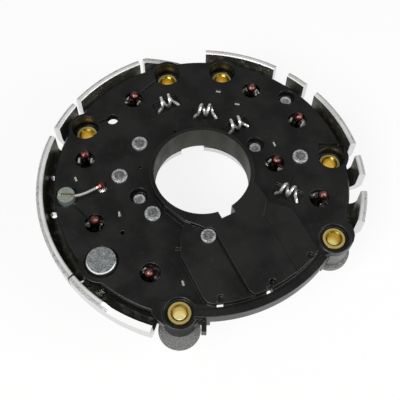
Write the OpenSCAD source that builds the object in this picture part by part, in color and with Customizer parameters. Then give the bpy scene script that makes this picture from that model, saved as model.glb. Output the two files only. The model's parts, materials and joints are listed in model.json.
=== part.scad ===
// Alternator rectifier: two slotted aluminium dishes with press-fit diodes under a moulded terminal plate.
// Millimetres. Origin on the bore axis at the middle of the collar, +Z towards the terminal side.

/* [Overall] */
// Diameter over the rims of the two dishes
outer_d = 139; // [134:0.5:144]
// Diameter of the round opening through the moulded plate
bore_d = 40; // [39.5:0.25:40.5]

/* [Heat sinks] */
// Sheet thickness of both dishes
sheet_t = 2.8; // [2.5:0.1:3]
// Height of the rim top above the dish underside
rim_h = 14.5; // [13.5:0.25:15.5]
// Outside radius of the bend between floor and rim
bend_r = 6.5; // [6:0.25:7]
// Bevel on the outer edge of the rim top
rim_bevel = 0.8; // [0.4:0.1:1.2]
// Thickness of the seating pads and insulating washers
pad_h = 1.5; // [1.2:0.1:2]
// Width of the opening between the dishes on the far side
far_gap_w = 10; // [8:0.5:11]
// Radius of the round mounting ears on the near side
ear_r = 8.3; // [8:0.1:8.6]

/* [Moulded plate] */
// Space between dish floor and plate web
stack_h = 8.2; // [8:0.1:9]
// Thickness of the plate web
web_t = 3.5; // [3.2:0.1:4]
// Rise of the collar round the opening above the web
collar_rise = 5.5; // [5:0.25:6.5]
// Wall thickness of the collar
collar_wall = 1.7; // [1.4:0.1:2]
// Rise of the outer band of the connector block above the web
band_rise = 2.5; // [2:0.25:3]
// Step from the middle panel down to the side panels
panel_step = 1.1; // [0.6:0.1:1.4]
// Drop of the outer skirt below the web
skirt_drop = 4; // [3:0.25:4.5]
// Width of the key notch in the collar
notch_w = 6.2; // [5:0.2:7]

/* [Diodes] */
// Diameter of the pressed diode cup
diode_d = 12.7; // [12.5:0.1:12.9]
// Diameter of the plate hole over each diode
diode_hole_d = 8.2; // [8:0.1:8.6]
// Diameter of the diode lead
lead_d = 1.3; // [1.1:0.1:1.5]
// Diameter of the weld ball on the lead
ball_d = 4.2; // [3.6:0.1:4.3]

/* [Conductors and clips] */
// Width of the stamped conductor strips
strip_w = 4; // [3.6:0.1:4.2]
// Thickness of the stamped conductor strips
strip_t = 1; // [0.8:0.1:1.1]
// Wire diameter of the stator clips
wire_d = 1.4; // [1.1:0.1:1.4]
// Mean coil radius of the stator clips
coil_r = 2.3; // [2.1:0.1:2.4]
// Diameter of the lead wire to the signal post
lead_wire_d = 1.2; // [1:0.1:1.3]

/* [Fasteners] */
// Diameter of the rivet heads on the plate
rivet_head_d = 6.6; // [6.2:0.1:6.8]
// Diameter of the rivet heads in counterbores
sunk_head_d = 5.2; // [4.8:0.1:5.6]
// Rivet shank diameter
rivet_shank_d = 4; // [3.6:0.1:4.2]
// Clearance bore of the flanged bushes for an M5 screw
bush_bore_d = 5.4; // [5.2:0.1:5.6]
// Outside diameter of the bush tube
bush_tube_d = 7; // [6.8:0.1:7.2]
// Diameter of the bush flange
bush_flange_d = 9.4; // [9:0.1:9.8]
// Width across flats of the output bolt head
bolt_af = 13; // [12.6:0.1:13.2]
// Thread diameter of the output stud
stud_d = 8; // [7:0.5:8]
// Length of the output stud below the seating plane
stud_len = 22; // [18:1:26]
// Diameter of the slotted head of the signal post
post_head_d = 7.2; // [6.8:0.1:7.4]
// Thread diameter of the signal post
post_d = 5; // [4.5:0.25:5]
// Length of the signal post below the seating plane
post_len = 14; // [10:1:18]

/* [Hidden] */
$fn = 64;
eps = 0.01;
clear = 0.1;
channel_clear = 0.3;
press_clear = 0.02;
beyond = 200;

function polar(r, a) = [r * cos(a), r * sin(a)];
function unit(v) = v / norm(v);

// Plan positions were measured on a ring with these radii; they keep their share of it at any size
plan_ring = [20, 69.5];
ring_scale = (outer_d - bore_d) / 2 / (plan_ring[1] - plan_ring[0]);
function ring_r(r) = bore_d / 2 + (r - plan_ring[0]) * ring_scale;
function spot(p) = norm(p) > 0 ? ring_r(norm(p)) * unit(p) : p;
function spots(list) = [for (p = list) spot(p)];

// Levels along the axis, from the seating plane up
collar_drop = 3;
strip_lift = 1.2;
ball_lift = 1;
z_sink = pad_h;
z_floor = z_sink + sheet_t;
z_rim = z_sink + rim_h;
z_web0 = z_floor + stack_h;
z_web = z_web0 + web_t;
z_collar = z_web + collar_rise;
z_collar0 = z_web0 - collar_drop;
z_skirt0 = z_web0 - skirt_drop;
z_side = z_collar - panel_step;
z_band = z_web + band_rise;
z_strip1 = z_web0 + strip_lift;
z_strip0 = z_strip1 - strip_t;
z_ball = z_web + ball_lift;
tall = z_collar + 10;
z_origin = (z_collar0 + z_collar) / 2;

// Dish radii
rim_r = outer_d / 2;
rim_in_r = rim_r - sheet_t;
rim_in_bevel = 0.4;
bend_c = rim_r - bend_r;
rim_reach = 10;
sink_in_r = bore_d / 2 + 2.5;
cut_in_r = rim_r - rim_reach;

// Straight edges where the dishes end, as plan points
gap_right_x = 0.5;
gap_left_x = gap_right_x - far_gap_w;
positive_edge_plan = [[0, -52], [9, -36], [9, 0]];
negative_edge_plan = [90, -65.4];

// Rim slots as [angle, width]; the thin one is a saw cut
left_slots = [[115.6, 2.1], [146.6, 3], [161.9, 4.5], [222.4, 0.8]];
right_slots = [[58.3, 7], [44.5, 6.4], [13.5, 6.2], [-0.5, 8.1]];

// Rim ends: the rim slopes down from the first angle to the second
far_slope_a = [114.4, 98];
far_end_rise = 1;
left_slope_a = [236.5, 239.5];
left_step_drop = 2;
left_rim_end = 254.7;
right_rim_end = -16;
cut_past_a = 45;
end_run = 2;
low_strip_run = 22;
slope_lift = 0.05;

// Openings in the left dish as [x, y, diameter]
air_hole_plan = [[-41.9, 36.4, 6.6], [-64.9, 4.3, 2], [-62.6, -13.6, 2.8]];

// Plate radii
plate_r = rim_r - 7.5;
plate_bevel = 0.7;
skirt_t = 2;
groove_w = 1.3;
groove_depth = 1.2;
block_r = plate_r - 4.4;
band_groove_w = 1.4;
band_groove_depth = 0.8;
block_start_a = -93;
block_end_a = -36;
skirt_gap_a = [-86, -38];
notch_a = -61.4;
notch_depth = 3;

// Mounting points: far ones sit deep in the plate, near ones on raised bosses
far_r = rim_r - 12.7;
near_r = rim_r - 9.5;
positive_far = [polar(far_r, 107.5), polar(far_r, 155)];
negative_far = [polar(far_r, 81.8), polar(far_r, 12.3)];
positive_near = polar(near_r, 262.9);
negative_near = polar(near_r, 333.6);
ear_shift = 4;
ear_draft = 2;
ear_neck_l = 12;
ear_neck_w = 2 * ear_r - 1;
ear_rise = 3;
z_left_ear = z_floor + ear_rise;
z_pillar = z_web0 + 1;
flange_t = 1.2;
flange_bevel = 0.3;
mouth_bevel = 0.6;
z_far_seat = z_floor + 4.5;
z_near_boss = z_web + 0.6;
z_near_seat = z_near_boss - 2.2;
far_boss_r = 7.25;
far_boss_floor = 2.5;
near_boss_r = 6.9;
near_lug_step = 0.2;
left_lug_plan = [[-17.5, -55], [-18.1, -60.2], [-15.8, -63], [-13, -64.8], [-9, -65],
    [-5, -65], [-1.6, -64.3], [1.5, -61.9], [3.6, -60.2], [4, -55]];
right_lug_plan = [[57, -18], [61.1, -20.7], [61.9, -23.1], [62.2, -25.4], [61.5, -28], [60.1, -30.3],
    [58.6, -31.8], [54, -32.6], [49.4, -34.8], [45, -33]];
foot_r = 4.8;
foot_tip_r = 4.2;
foot_tip_h = 0.6;
recess_r = bush_flange_d / 2 + 1.2;
flat_recess_w = 2 * recess_r - 1;
flat_recess_l = recess_r + 0.8;
flat_recess_depth = 2.4;
spigot_d = bush_tube_d + 2.4;
washer_d = 14;

// Diodes as hole centres, with the offset of each lead from its hole
positive_plan = [[-31.5, 39.5], [-50, 7.5], [-43.2, -22.6], [-19.4, -43.5]];
positive_bends = [[0.5, 1.2], [0, 1.7], [0.3, 0.9], [-0.3, -0.6]];
negative_plan = [[21.3, 46.2], [41.45, 30.4], [30.9, 7.8], [48.8, -8.55]];
negative_bends = [[0.1, 0.3], [0.4, 0.8], [0.6, 0.8], [1.3, 0.8]];
positive_holes = spots(positive_plan);
negative_holes = spots(negative_plan);
diode_shoulder_d = diode_d + 0.6;
shoulder_h = 0.8;
cup_d = diode_d - 0.6;
cup_h = 2.2;
seal_h = 1;
seal_d = 10;
seal_top_d = 7;

// Fork tabs round each weld ball
eye_r = diode_hole_d / 2 + 2.4;
eye_hole_d = diode_hole_d + 0.2;
tab_in = ball_d / 2 + 0.15;
tab_t = 0.8;
tab_w = 2.2;
tab_root = 1;
z_tab = z_web - 0.6;

// Conductor paths; each ends under two diode holes and passes its clip
clip_plan = [[-16.6, 37.5], [0.9, 33.3], [14.3, 26.6], [36, -6.4]];
clip_turn = [29, 0, 30, -22];
clip_pos = spots(clip_plan);
path_1_plan = [positive_plan[0], [-24, 36.5], clip_plan[0], [-6, 42.5], [6.5, 45.2], negative_plan[0]];
path_2_plan = [positive_plan[1], [-42, 19], [-24, 26.5], [-9, 30.5], clip_plan[1], [9, 36], [15, 38.5],
    [26, 34], negative_plan[1]];
path_3_plan = [positive_plan[2], [-33.5, -18], [-33.4, -9.5], [-30.5, -5], [-25.6, 2], [-24, 9], [-19, 17.5],
    [-11, 23.8], [-2, 25.8], [6, 25.2], clip_plan[2], [24.3, 25.2], [31, 17.8], negative_plan[2]];
path_4_plan = [positive_plan[3], [-6.5, -47.5], [8, -45], [22, -39.5], [33, -28], [36.5, -16], clip_plan[3],
    negative_plan[3]];
signal_tab_plan = [-41.7, -5.9];
signal_tab = spot(signal_tab_plan);
branch_2_plan = [positive_plan[1], [-53, -2]];
branch_3_plan = [[-33.4, -12], signal_tab_plan];
joint_swell = 0.16;

// Windows over the strips with a staking tab in each, as [x, y, turn, conductor]
window_plan = [[-6.5, -47.5, 20, 3], [-33.5, -18, 10, 2], [31, 17.8, 20, 2], [15, 38.5, 80, 1],
    [6.5, 45.2, 80, 0], [-53, -2, 25, 1]];
window_w = 1.6;
window_l = 3;
stake_w = 0.8;
stake_l = 2.2;
z_stake = z_web - 0.3;

// Stator clips
clip_pitch = 3.6;
clip_turns = 1.75;
clip_steps = 40;
wire_sides = 8;
foot_x = 5;
foot_y = 2.4;
clip_foot_h = 1.4;
clip_lean = [0.4, 0, 0.3];
clip_tail = [[-0.9, 0.9, -0.3], [-0.2, 0.1, -0.9], [0, 0, -1.4]];
foot_hole_d = wire_d + 0.4;
pocket_depth = 1.2;
pocket_l = 2 * foot_x + 2.2;
pocket_front = foot_y + 1;
pocket_back = coil_r + 0.4;
z_coil = z_web - pocket_depth + coil_r + wire_d / 2 + 0.15;
pad_l = 2 * foot_x + 2;
clip_pad_w = 3.4;

// Rivets
flush_plan = [[-27.2, 15.9], [-34.6, -0.5], [-19.8, -17.8], [41.8, 11.2]];
block_rivet_plan = [3, -29.4];
sunk_plan = [[-26, -9.5], [22.8, 17.2], [37.2, 42.8]];
flush_rivets = spots(flush_plan);
block_rivet = spot(block_rivet_plan);
sunk_rivets = spots(sunk_plan);
block_head_d = 6;
block_relief_d = block_head_d + 1;
rivet_head_h = 1.2;
rivet_tail_h = 1.1;
rivet_tail_d = 6;
rivet_bevel = 0.3;
mark_d = 3.4;
mark_w = 0.5;
mark_depth = 0.2;
counterbore_d = 7.6;
sunk_depth = 4;
rivet_boss_r = 3;
sunk_boss_r = 4.5;
sunk_boss_h = 4.5;

// Output bolt, whose hexagon is held under a lip of the moulding, and signal post
bolt_plan = [-38.9, -39.3];
bolt_pos = spot(bolt_plan);
bolt_turn = 15;
bolt_hex_h = 2.3;
bolt_head_h = 5;
bolt_cap_d = bolt_af - 0.4;
bolt_cap_bevel = 0.6;
bolt_gap = 0.8;
pillar_r = 7.6;
bolt_pad_r = 9;
insulator_d = 17;
insulator_sleeve_d = stud_d + 3.6;
insulator_len = 6;
run_out = 1;
stud_neck = 1.4;
stud_tip = 1;
post_plan = [-55.8, -11];
post_pos = spot(post_plan);
post_head_h = 3;
post_slot_depth = 1.4;
post_neck = 1;
post_tip = 0.8;
post_recess_d = post_head_d + 2.6;
post_recess_depth = 0.8;
post_tube_d = post_d + 3.6;
z_post_seat = z_web - post_recess_depth;
z_post_slot = z_post_seat + post_head_h - post_slot_depth;
z_wire = z_post_slot + lead_wire_d / 2;
signal_ball_d = 3.2;
signal_hole_d = 4.6;
wire_plan = [[-58, -11], [-52, -11], [-50, -10.5], [-47.5, -9.4], [-45, -7.9], [-43.6, -7]];

// Block outline and middle panel, corner by corner from the collar
block_plan = [[0, 0], [-15, -16.5], [-6.5, -23.5], [-8, -31], [-7.5, -38], [1.2, -54.7], [2.1, -55.9],
    [3.1, -56.8], [4.4, -57.2], [6, -57.5], [7, -70], [60, -60], [36.5, -16], [26.5, -13], [22, -5]];
panel_plan = [[0, 0], [-15, -16.5], [-6.5, -23], [0, -25.4], [6.5, -29], [18.8, -51.9], [20.2, -53.3],
    [22.3, -53.4], [24, -62], [45, -60], [25, -20.5], [26.5, -12.5], [22, -5]];
panel_groove_plan = [[-3.2, -24.2], [0, -25.4], [6.5, -29], [18.8, -51.9], [20.2, -53.3], [22.3, -53.4],
    [24, -62]];
panel_groove_w = 0.8;
panel_groove_depth = 1;
lock_hole_plan = [[8, -55], [27.8, -48.4], [43, -36.5]];
lock_hole_d = 2.8;
lock_hole_depth = 1.8;

// Drain slots in the groove along the block, with a pocket below each
drain_angles = [-82.1, -62.2];
drain_w = 1.4;
drain_out = 0.5;
drain_l = 2.6;
drain_roof = 1.6;
drain_pocket_w = 6;
drain_pocket_l = 3.4;

// Core pockets under the block as [radius, angle]
cells_in = [[33, -66], [33, -47]];
cell_in_size = 9;
cells_out = [[53, -78], [53, -66], [53, -54], [53, -43]];
cell_out_l = 8.5;
cell_out_w = 5.6;
cell_roof = 2.4;

// Small marks of the moulding
slit_plan = [[[-52.5, -14.2], [-46.2, -20]], [[-28.5, 43], [-21, 51]], [[-46.5, 26.2], [-41.5, 28.6]]];
pin_hole_plan = [[-40, 28.5, 5], [-31.5, -26.5, 1.8], [-26.3, 4.5, 1.6], [-12, 23, 1.4]];
hook_plan = [1, -66.2];
hook_size = [2, 5.4, 4.5];
hook_drop = 3;
rib_plan = [-10, -33.6];
rib_size = [3, 1.2, 2];

// Flat shapes

// Region between two angles, as a fan of straight sides
module fan(a0, a1, r) {
    steps = 8;
    polygon(concat([[0, 0]], [for (i = [0 : steps]) polar(r, a0 + (a1 - a0) * i / steps)]));
}

// Band of constant width along a path, with round joints a touch wider than the band
module ribbon(pts, w) {
    for (i = [0 : len(pts) - 2]) {
        d = pts[i + 1] - pts[i];
        translate(pts[i])
            rotate(atan2(d[1], d[0]))
                translate([0, -w / 2])
                    square([norm(d), w]);
    }
    for (p = pts)
        translate(p)
            circle(d = w + joint_swell);
}

// Conductor outline with an eye under each diode hole and a pad under each clip
module conductor_shape(paths, eyes, clip, grow) {
    for (p = paths)
        ribbon(spots(p), strip_w + 2 * grow);
    for (e = eyes)
        translate(e)
            circle(r = eye_r + grow);
    translate(clip_pos[clip])
        rotate(clip_turn[clip])
            translate([-pad_l / 2 - grow, -foot_y - clip_pad_w / 2 - grow])
                square([pad_l + 2 * grow, clip_pad_w + 2 * grow]);
}

module conductor_outline(i, grow) {
    if (i == 0)
        conductor_shape([path_1_plan], [positive_holes[0], negative_holes[0]], 0, grow);
    if (i == 1)
        conductor_shape([path_2_plan, branch_2_plan], [positive_holes[1], negative_holes[1]], 1, grow);
    if (i == 2)
        conductor_shape([path_3_plan, branch_3_plan], [positive_holes[2], negative_holes[2]], 2, grow);
    if (i == 3)
        conductor_shape([path_4_plan], [positive_holes[3], negative_holes[3]], 3, grow);
}

// Heat sinks

// Half section of the dish: floor, bend and rim with a bevelled top edge
module dish_section() {
    difference() {
        union() {
            translate([sink_in_r, z_sink])
                square([bend_c - sink_in_r, sheet_t]);
            intersection() {
                translate([bend_c, z_sink + bend_r])
                    difference() {
                        circle(r = bend_r);
                        circle(r = bend_r - sheet_t);
                    }
                translate([bend_c, z_sink])
                    square([bend_r, bend_r]);
            }
            translate([rim_in_r, z_sink + bend_r])
                square([sheet_t, rim_h - bend_r]);
        }
        translate([rim_r, z_rim])
            rotate(45)
                square(rim_bevel * sqrt(2), center = true);
        translate([rim_in_r, z_rim])
            rotate(45)
                square(rim_in_bevel * sqrt(2), center = true);
    }
}

module dish() {
    rotate_extrude()
        dish_section();
}

module rim_slot(a, w) {
    rotate(a)
        translate([cut_in_r, -w / 2, 0])
            cube([rim_r, w, tall]);
}

// Takes the rim and bend away between two angles
module rim_cut(a0, a1) {
    translate([0, 0, -eps])
        linear_extrude(tall)
            difference() {
                fan(a0, a1, 2 * rim_r);
                circle(r = cut_in_r);
            }
}

// Slopes the rim top down between two angles, and runs on at the lower level
module rim_slope(a, z0, z1, run_past) {
    half = rim_r * sin(abs(a[1] - a[0]) / 2);
    side = a[1] > a[0] ? 1 : -1;
    past = side * (half + run_past);
    rotate((a[0] + a[1]) / 2)
        translate([cut_in_r, 0, 0])
            rotate([90, 0, 90])
                linear_extrude(rim_r)
                    polygon([[-side * half, z0 + slope_lift], [side * half, z1], [past, z1], [past, tall],
                        [-side * half, tall]]);
}

module through(p, d) {
    translate([p[0], p[1], -eps])
        cylinder(d = d, h = tall);
}

module positive_region() {
    polygon(concat([[gap_left_x, 0], [gap_left_x, beyond], [-beyond, beyond], [-beyond, -beyond],
        [0, -beyond]], spots(positive_edge_plan)));
}

module negative_region() {
    polygon([[gap_right_x, 0], [gap_right_x, beyond], [beyond, beyond], spot(negative_edge_plan)]);
}

// Thick round ear under the near boss, narrower below, on a neck from the floor
module positive_ear() {
    translate([positive_near[0], positive_near[1] - ear_shift, z_sink]) {
        cylinder(r1 = ear_r - ear_draft, r2 = ear_r, h = z_left_ear - z_sink);
        translate([-ear_neck_w / 2, 0, 0])
            cube([ear_neck_w, ear_neck_l, sheet_t]);
    }
}

module positive_heat_sink() {
    color([0.76, 0.77, 0.78])
        difference() {
            union() {
                difference() {
                    intersection() {
                        dish();
                        linear_extrude(tall)
                            positive_region();
                    }
                    for (s = left_slots)
                        rim_slot(s[0], s[1]);
                    rim_cut(left_rim_end, left_rim_end + cut_past_a);
                    rim_slope(left_slope_a, z_rim, z_rim - left_step_drop, low_strip_run);
                    rim_slope(far_slope_a, z_rim, z_floor + far_end_rise, end_run);
                }
                positive_ear();
                translate([bolt_pos[0], bolt_pos[1], z_sink + eps])
                    cylinder(r = pillar_r, h = z_web0 - z_sink - eps);
            }
            for (p = positive_holes)
                through(p, diode_d + 2 * press_clear);
            for (p = concat(positive_far, [positive_near]))
                through(p, spigot_d + 2 * clear);
            for (p = [flush_rivets[0], flush_rivets[1], flush_rivets[2], block_rivet, sunk_rivets[0]])
                through(p, rivet_shank_d + clear);
            through(bolt_pos, stud_d + 2 * clear);
            through(post_pos, post_tube_d + 4 * clear);
            for (h = air_hole_plan)
                through(spot([h[0], h[1]]), h[2]);
        }
}

module negative_heat_sink() {
    color([0.74, 0.75, 0.76])
        difference() {
            union() {
                difference() {
                    intersection() {
                        dish();
                        linear_extrude(tall)
                            negative_region();
                    }
                    for (s = right_slots)
                        rim_slot(s[0], s[1]);
                    rim_cut(right_rim_end - cut_past_a, right_rim_end);
                }
                translate([negative_near[0], negative_near[1], z_sink])
                    cylinder(r = ear_r, h = sheet_t);
                translate(negative_near)
                    cylinder(d = washer_d, h = z_pillar);
                for (p = negative_far)
                    translate(p)
                        cylinder(d = washer_d, h = z_sink + sheet_t / 2);
            }
            for (p = negative_holes)
                through(p, diode_d + 2 * press_clear);
            for (p = concat(negative_far, [negative_near]))
                through(p, bush_tube_d + 2 * clear);
            for (p = [flush_rivets[3], sunk_rivets[1], sunk_rivets[2]])
                through(p, rivet_shank_d + clear);
        }
}

// Moulded plate

module plate_section() {
    polygon([
        [bore_d / 2, z_collar0], [bore_d / 2, z_collar], [bore_d / 2 + collar_wall, z_collar],
        [bore_d / 2 + collar_wall, z_web], [plate_r - plate_bevel, z_web], [plate_r, z_web - plate_bevel],
        [plate_r, z_skirt0], [plate_r - skirt_t, z_skirt0], [plate_r - skirt_t, z_web0],
        [bore_d / 2 + collar_wall, z_web0], [bore_d / 2 + collar_wall, z_collar0]
    ]);
}

// Boss under a far mounting point with a narrow foot on the dish floor
module far_boss(p) {
    translate([p[0], p[1], 0]) {
        translate([0, 0, z_far_seat - far_boss_floor])
            cylinder(r = far_boss_r, h = z_web - z_far_seat + far_boss_floor);
        translate([0, 0, z_floor])
            cylinder(r1 = foot_tip_r, r2 = foot_r, h = foot_tip_h);
        translate([0, 0, z_floor + foot_tip_h])
            cylinder(r = foot_r, h = z_web0 - z_floor - foot_tip_h);
    }
}

// Boss of a near mounting point, standing on the dish at a given level
module near_boss(p, level) {
    translate([p[0], p[1], level])
        cylinder(r = near_boss_r, h = z_near_boss - level);
}

// Lug of the web round a near boss
module near_lug(plan) {
    translate([0, 0, z_web0 + near_lug_step])
        linear_extrude(z_near_boss - z_web0 - 2 * near_lug_step)
            polygon(spots(plan));
}

module bush_hole(p, seat) {
    through(p, bush_tube_d + 2 * clear);
    translate([p[0], p[1], seat])
        cylinder(r = recess_r, h = tall);
}

module slit(p, q, w, level) {
    translate([0, 0, level])
        linear_extrude(tall)
            ribbon([p, q], w);
}

// Block of the panels; a groove follows the foot of the middle one
module block() {
    intersection() {
        union() {
            difference() {
                translate([0, 0, z_web0 + eps])
                    linear_extrude(z_side - z_web0 - eps)
                        polygon(spots(block_plan));
                translate([0, 0, z_side - panel_groove_depth])
                    linear_extrude(tall)
                        ribbon(spots(panel_groove_plan), 2 * panel_groove_w);
            }
            translate([0, 0, z_web0 + eps])
                linear_extrude(z_collar - z_web0 - eps)
                    polygon(spots(panel_plan));
        }
        cylinder(r = block_r, h = tall);
    }
}

// Outer band of the block with a groove along the panels
module band() {
    intersection() {
        difference() {
            translate([0, 0, z_web0 + eps])
                cylinder(r = plate_r, h = z_band - z_web0 - eps);
            translate([0, 0, z_band - band_groove_depth])
                cylinder(r = block_r + band_groove_w, h = tall);
            cylinder(r = block_r - 1, h = tall);
        }
        linear_extrude(tall)
            fan(block_start_a, block_end_a, 2 * plate_r);
    }
}

module cells() {
    for (c = cells_in)
        rotate(c[1])
            translate([ring_r(c[0]) - cell_in_size / 2, -cell_in_size / 2, 0])
                cube([cell_in_size, cell_in_size, z_side - cell_roof]);
    for (c = cells_out)
        rotate(c[1])
            translate([ring_r(c[0]) - cell_out_w / 2, -cell_out_l / 2, 0])
                cube([cell_out_w, cell_out_l, z_side - cell_roof]);
}

module clip_pocket(i) {
    translate(clip_pos[i])
        rotate(clip_turn[i]) {
            translate([-pocket_l / 2, -pocket_front, z_web - pocket_depth])
                cube([pocket_l, pocket_front + pocket_back, tall]);
            for (s = [-1, 1])
                through([s * foot_x, -foot_y], foot_hole_d);
        }
}

module drain(a) {
    out_r = block_r + drain_out;
    rotate(a) {
        translate([out_r - drain_w, -drain_l / 2, 0])
            cube([drain_w, drain_l, tall]);
        translate([out_r - drain_pocket_w, -drain_pocket_l / 2, 0])
            cube([drain_pocket_w, drain_pocket_l, z_band - band_groove_depth - drain_roof]);
    }
}

// Round hole over the bolt's cap above a six-sided pocket for its head
module bolt_hole() {
    translate([bolt_pos[0], bolt_pos[1], 0]) {
        cylinder(r = pillar_r + channel_clear, h = z_web0);
        translate([0, 0, z_web0 - eps])
            rotate(bolt_turn)
                cylinder(d = (bolt_af + bolt_gap) / cos(30), h = bolt_hex_h + clear + eps, $fn = 6);
        cylinder(d = bolt_cap_d + bolt_gap, h = tall);
    }
}

module plate_body() {
    rotate_extrude()
        plate_section();
    for (p = concat(positive_far, negative_far))
        far_boss(p);
    near_boss(positive_near, z_left_ear);
    near_boss(negative_near, z_pillar);
    near_lug(left_lug_plan);
    near_lug(right_lug_plan);
    difference() {
        union() {
            block();
            band();
        }
        translate([0, 0, -eps])
            cylinder(d = bore_d, h = tall);
    }
    for (p = concat(flush_rivets, [block_rivet], sunk_rivets))
        translate([p[0], p[1], z_floor])
            cylinder(r = rivet_boss_r, h = stack_h + eps);
    for (p = sunk_rivets)
        translate([p[0], p[1], z_web0 - sunk_boss_h])
            cylinder(r = sunk_boss_r, h = sunk_boss_h + eps);
    translate([bolt_pos[0], bolt_pos[1], z_web0])
        cylinder(r = bolt_pad_r, h = web_t);
    translate([post_pos[0], post_pos[1], pad_h])
        cylinder(d = post_tube_d, h = z_web0 - pad_h + eps);
    translate(concat(spot(hook_plan), [z_web0 - hook_drop]))
        cube(hook_size);
    translate(concat(spot(rib_plan), [z_web - eps]))
        cube(rib_size);
}

module fastener_holes() {
    for (p = concat(positive_far, negative_far))
        bush_hole(p, z_far_seat);
    bush_hole(positive_near, z_near_seat);
    bush_hole(negative_near, z_near_seat);
    translate([negative_far[1][0] - flat_recess_w / 2, negative_far[1][1], z_web - flat_recess_depth])
        cube([flat_recess_w, flat_recess_l, tall]);
    translate([negative_near[0], negative_near[1], 0])
        cylinder(d = washer_d + 2 * clear, h = z_pillar);
    for (p = concat(flush_rivets, [block_rivet], sunk_rivets))
        through(p, rivet_shank_d + clear);
    for (p = sunk_rivets)
        translate([p[0], p[1], z_web - sunk_depth])
            cylinder(d = counterbore_d, h = tall);
    translate([block_rivet[0], block_rivet[1], z_side])
        cylinder(d = block_relief_d, h = tall);
    bolt_hole();
    through(post_pos, post_d + clear);
    translate([post_pos[0], post_pos[1], z_post_seat])
        cylinder(d = post_recess_d, h = tall);
}

module conductor_holes() {
    for (i = [0 : 3])
        translate([0, 0, z_web0 - 1])
            linear_extrude(strip_lift + 1)
                conductor_outline(i, channel_clear);
    for (p = concat(positive_holes, negative_holes))
        through(p, diode_hole_d);
    for (i = [0 : 3])
        clip_pocket(i);
    through(signal_tab, signal_hole_d);
    for (w = window_plan)
        translate(concat(spot([w[0], w[1]]), [z_web0]))
            rotate(w[2])
                translate([-window_w / 2, -window_l / 2, 0])
                    cube([window_w, window_l, tall]);
}

module moulding_marks() {
    translate([0, 0, z_skirt0 - 1])
        linear_extrude(skirt_drop + 1)
            difference() {
                fan(skirt_gap_a[0], skirt_gap_a[1], 2 * plate_r);
                circle(r = plate_r - skirt_t - eps);
            }
    cells();
    for (a = drain_angles)
        drain(a);
    for (p = spots(lock_hole_plan))
        translate([p[0], p[1], z_side - lock_hole_depth])
            cylinder(d = lock_hole_d, h = tall);
    for (p = slit_plan)
        slit(spot(p[0]), spot(p[1]), groove_w, z_web - groove_depth);
    for (h = pin_hole_plan)
        through(spot([h[0], h[1]]), h[2]);
    rotate(notch_a)
        translate([bore_d / 4, -notch_w / 2, 0])
            cube([bore_d / 4 + notch_depth, notch_w, tall]);
}

module terminal_plate() {
    color([0.14, 0.14, 0.15])
        difference() {
            plate_body();
            fastener_holes();
            conductor_holes();
            moulding_marks();
        }
}

// Diodes

// Half section of a lead that ends in a weld ball
module lead_section(h) {
    intersection() {
        union() {
            translate([0, h])
                circle(d = ball_d);
            square([lead_d / 2, h]);
        }
        square([ball_d, h + ball_d]);
    }
}

module diode(p, bend) {
    z_top = z_floor + shoulder_h + cup_h;
    translate([p[0], p[1], 0]) {
        translate([0, 0, z_sink])
            cylinder(d = diode_d, h = sheet_t + eps);
        translate([0, 0, z_floor])
            cylinder(d = diode_shoulder_d, h = shoulder_h);
        translate([0, 0, z_floor + shoulder_h])
            cylinder(d = cup_d, h = cup_h);
        translate([0, 0, z_top])
            cylinder(d1 = seal_d, d2 = seal_top_d, h = seal_h);
        translate([bend[0], bend[1], z_top])
            rotate_extrude()
                lead_section(z_ball - z_top);
    }
}

module positive_diode(i) {
    color([0.66, 0.5, 0.44])
        diode(positive_holes[i], positive_bends[i]);
}

module negative_diode(i) {
    color([0.66, 0.5, 0.44])
        diode(negative_holes[i], negative_bends[i]);
}

// Conductors

module fork_tabs(p, bend) {
    translate([p[0], p[1], z_strip0])
        rotate(atan2(bend[1], bend[0]))
            for (s = [-90, 90])
                rotate(s) {
                    translate([tab_in, -tab_w / 2, 0])
                        cube([eye_r - tab_root - tab_in, tab_w, strip_t]);
                    translate([tab_in, -tab_w / 2, 0])
                        cube([tab_t, tab_w, z_tab - z_strip0]);
                }
}

module conductor(i) {
    color([0.8, 0.8, 0.77]) {
        translate([0, 0, z_strip0])
            linear_extrude(strip_t)
                difference() {
                    conductor_outline(i, 0);
                    for (p = [positive_holes[i], negative_holes[i]])
                        translate(p)
                            circle(d = eye_hole_d);
                }
        fork_tabs(positive_holes[i], positive_bends[i]);
        fork_tabs(negative_holes[i], negative_bends[i]);
        for (w = window_plan)
            if (w[3] == i)
                translate(concat(spot([w[0], w[1]]), [z_strip0]))
                    rotate(w[2])
                        translate([-stake_w / 2, -stake_l / 2, 0])
                            cube([stake_w, stake_l, z_stake - z_strip0]);
        if (i == 2)
            translate([signal_tab[0] - tab_w / 2, signal_tab[1] - tab_t / 2, z_strip0])
                cube([tab_w, tab_t, z_wire - signal_ball_d / 2 - z_strip0]);
    }
}

// Stator clips: one wire swept round two loops, with a foot at each end

function coil_point(t) = [
    clip_pitch * clip_turns * (t - 0.5),
    -coil_r * cos(360 * clip_turns * t),
    z_coil + coil_r * sin(360 * clip_turns * t)
];
clip_foot = [-foot_x, -foot_y, z_strip1];
clip_end = [foot_x, -foot_y, z_web];
clip_line = concat(
    [clip_foot, clip_foot + [0, 0, clip_foot_h], [-foot_x, -foot_y, z_web] + clip_lean],
    [for (i = [0 : clip_steps]) coil_point(i / clip_steps)],
    [for (t = clip_tail) clip_end + t],
    [[foot_x, -foot_y, z_strip1]]
);

function tangent(pts, i) =
    i == 0 ? unit(pts[1] - pts[0]) :
    i == len(pts) - 1 ? unit(pts[i] - pts[i - 1]) :
    unit(unit(pts[i + 1] - pts[i]) + unit(pts[i] - pts[i - 1]));

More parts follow.
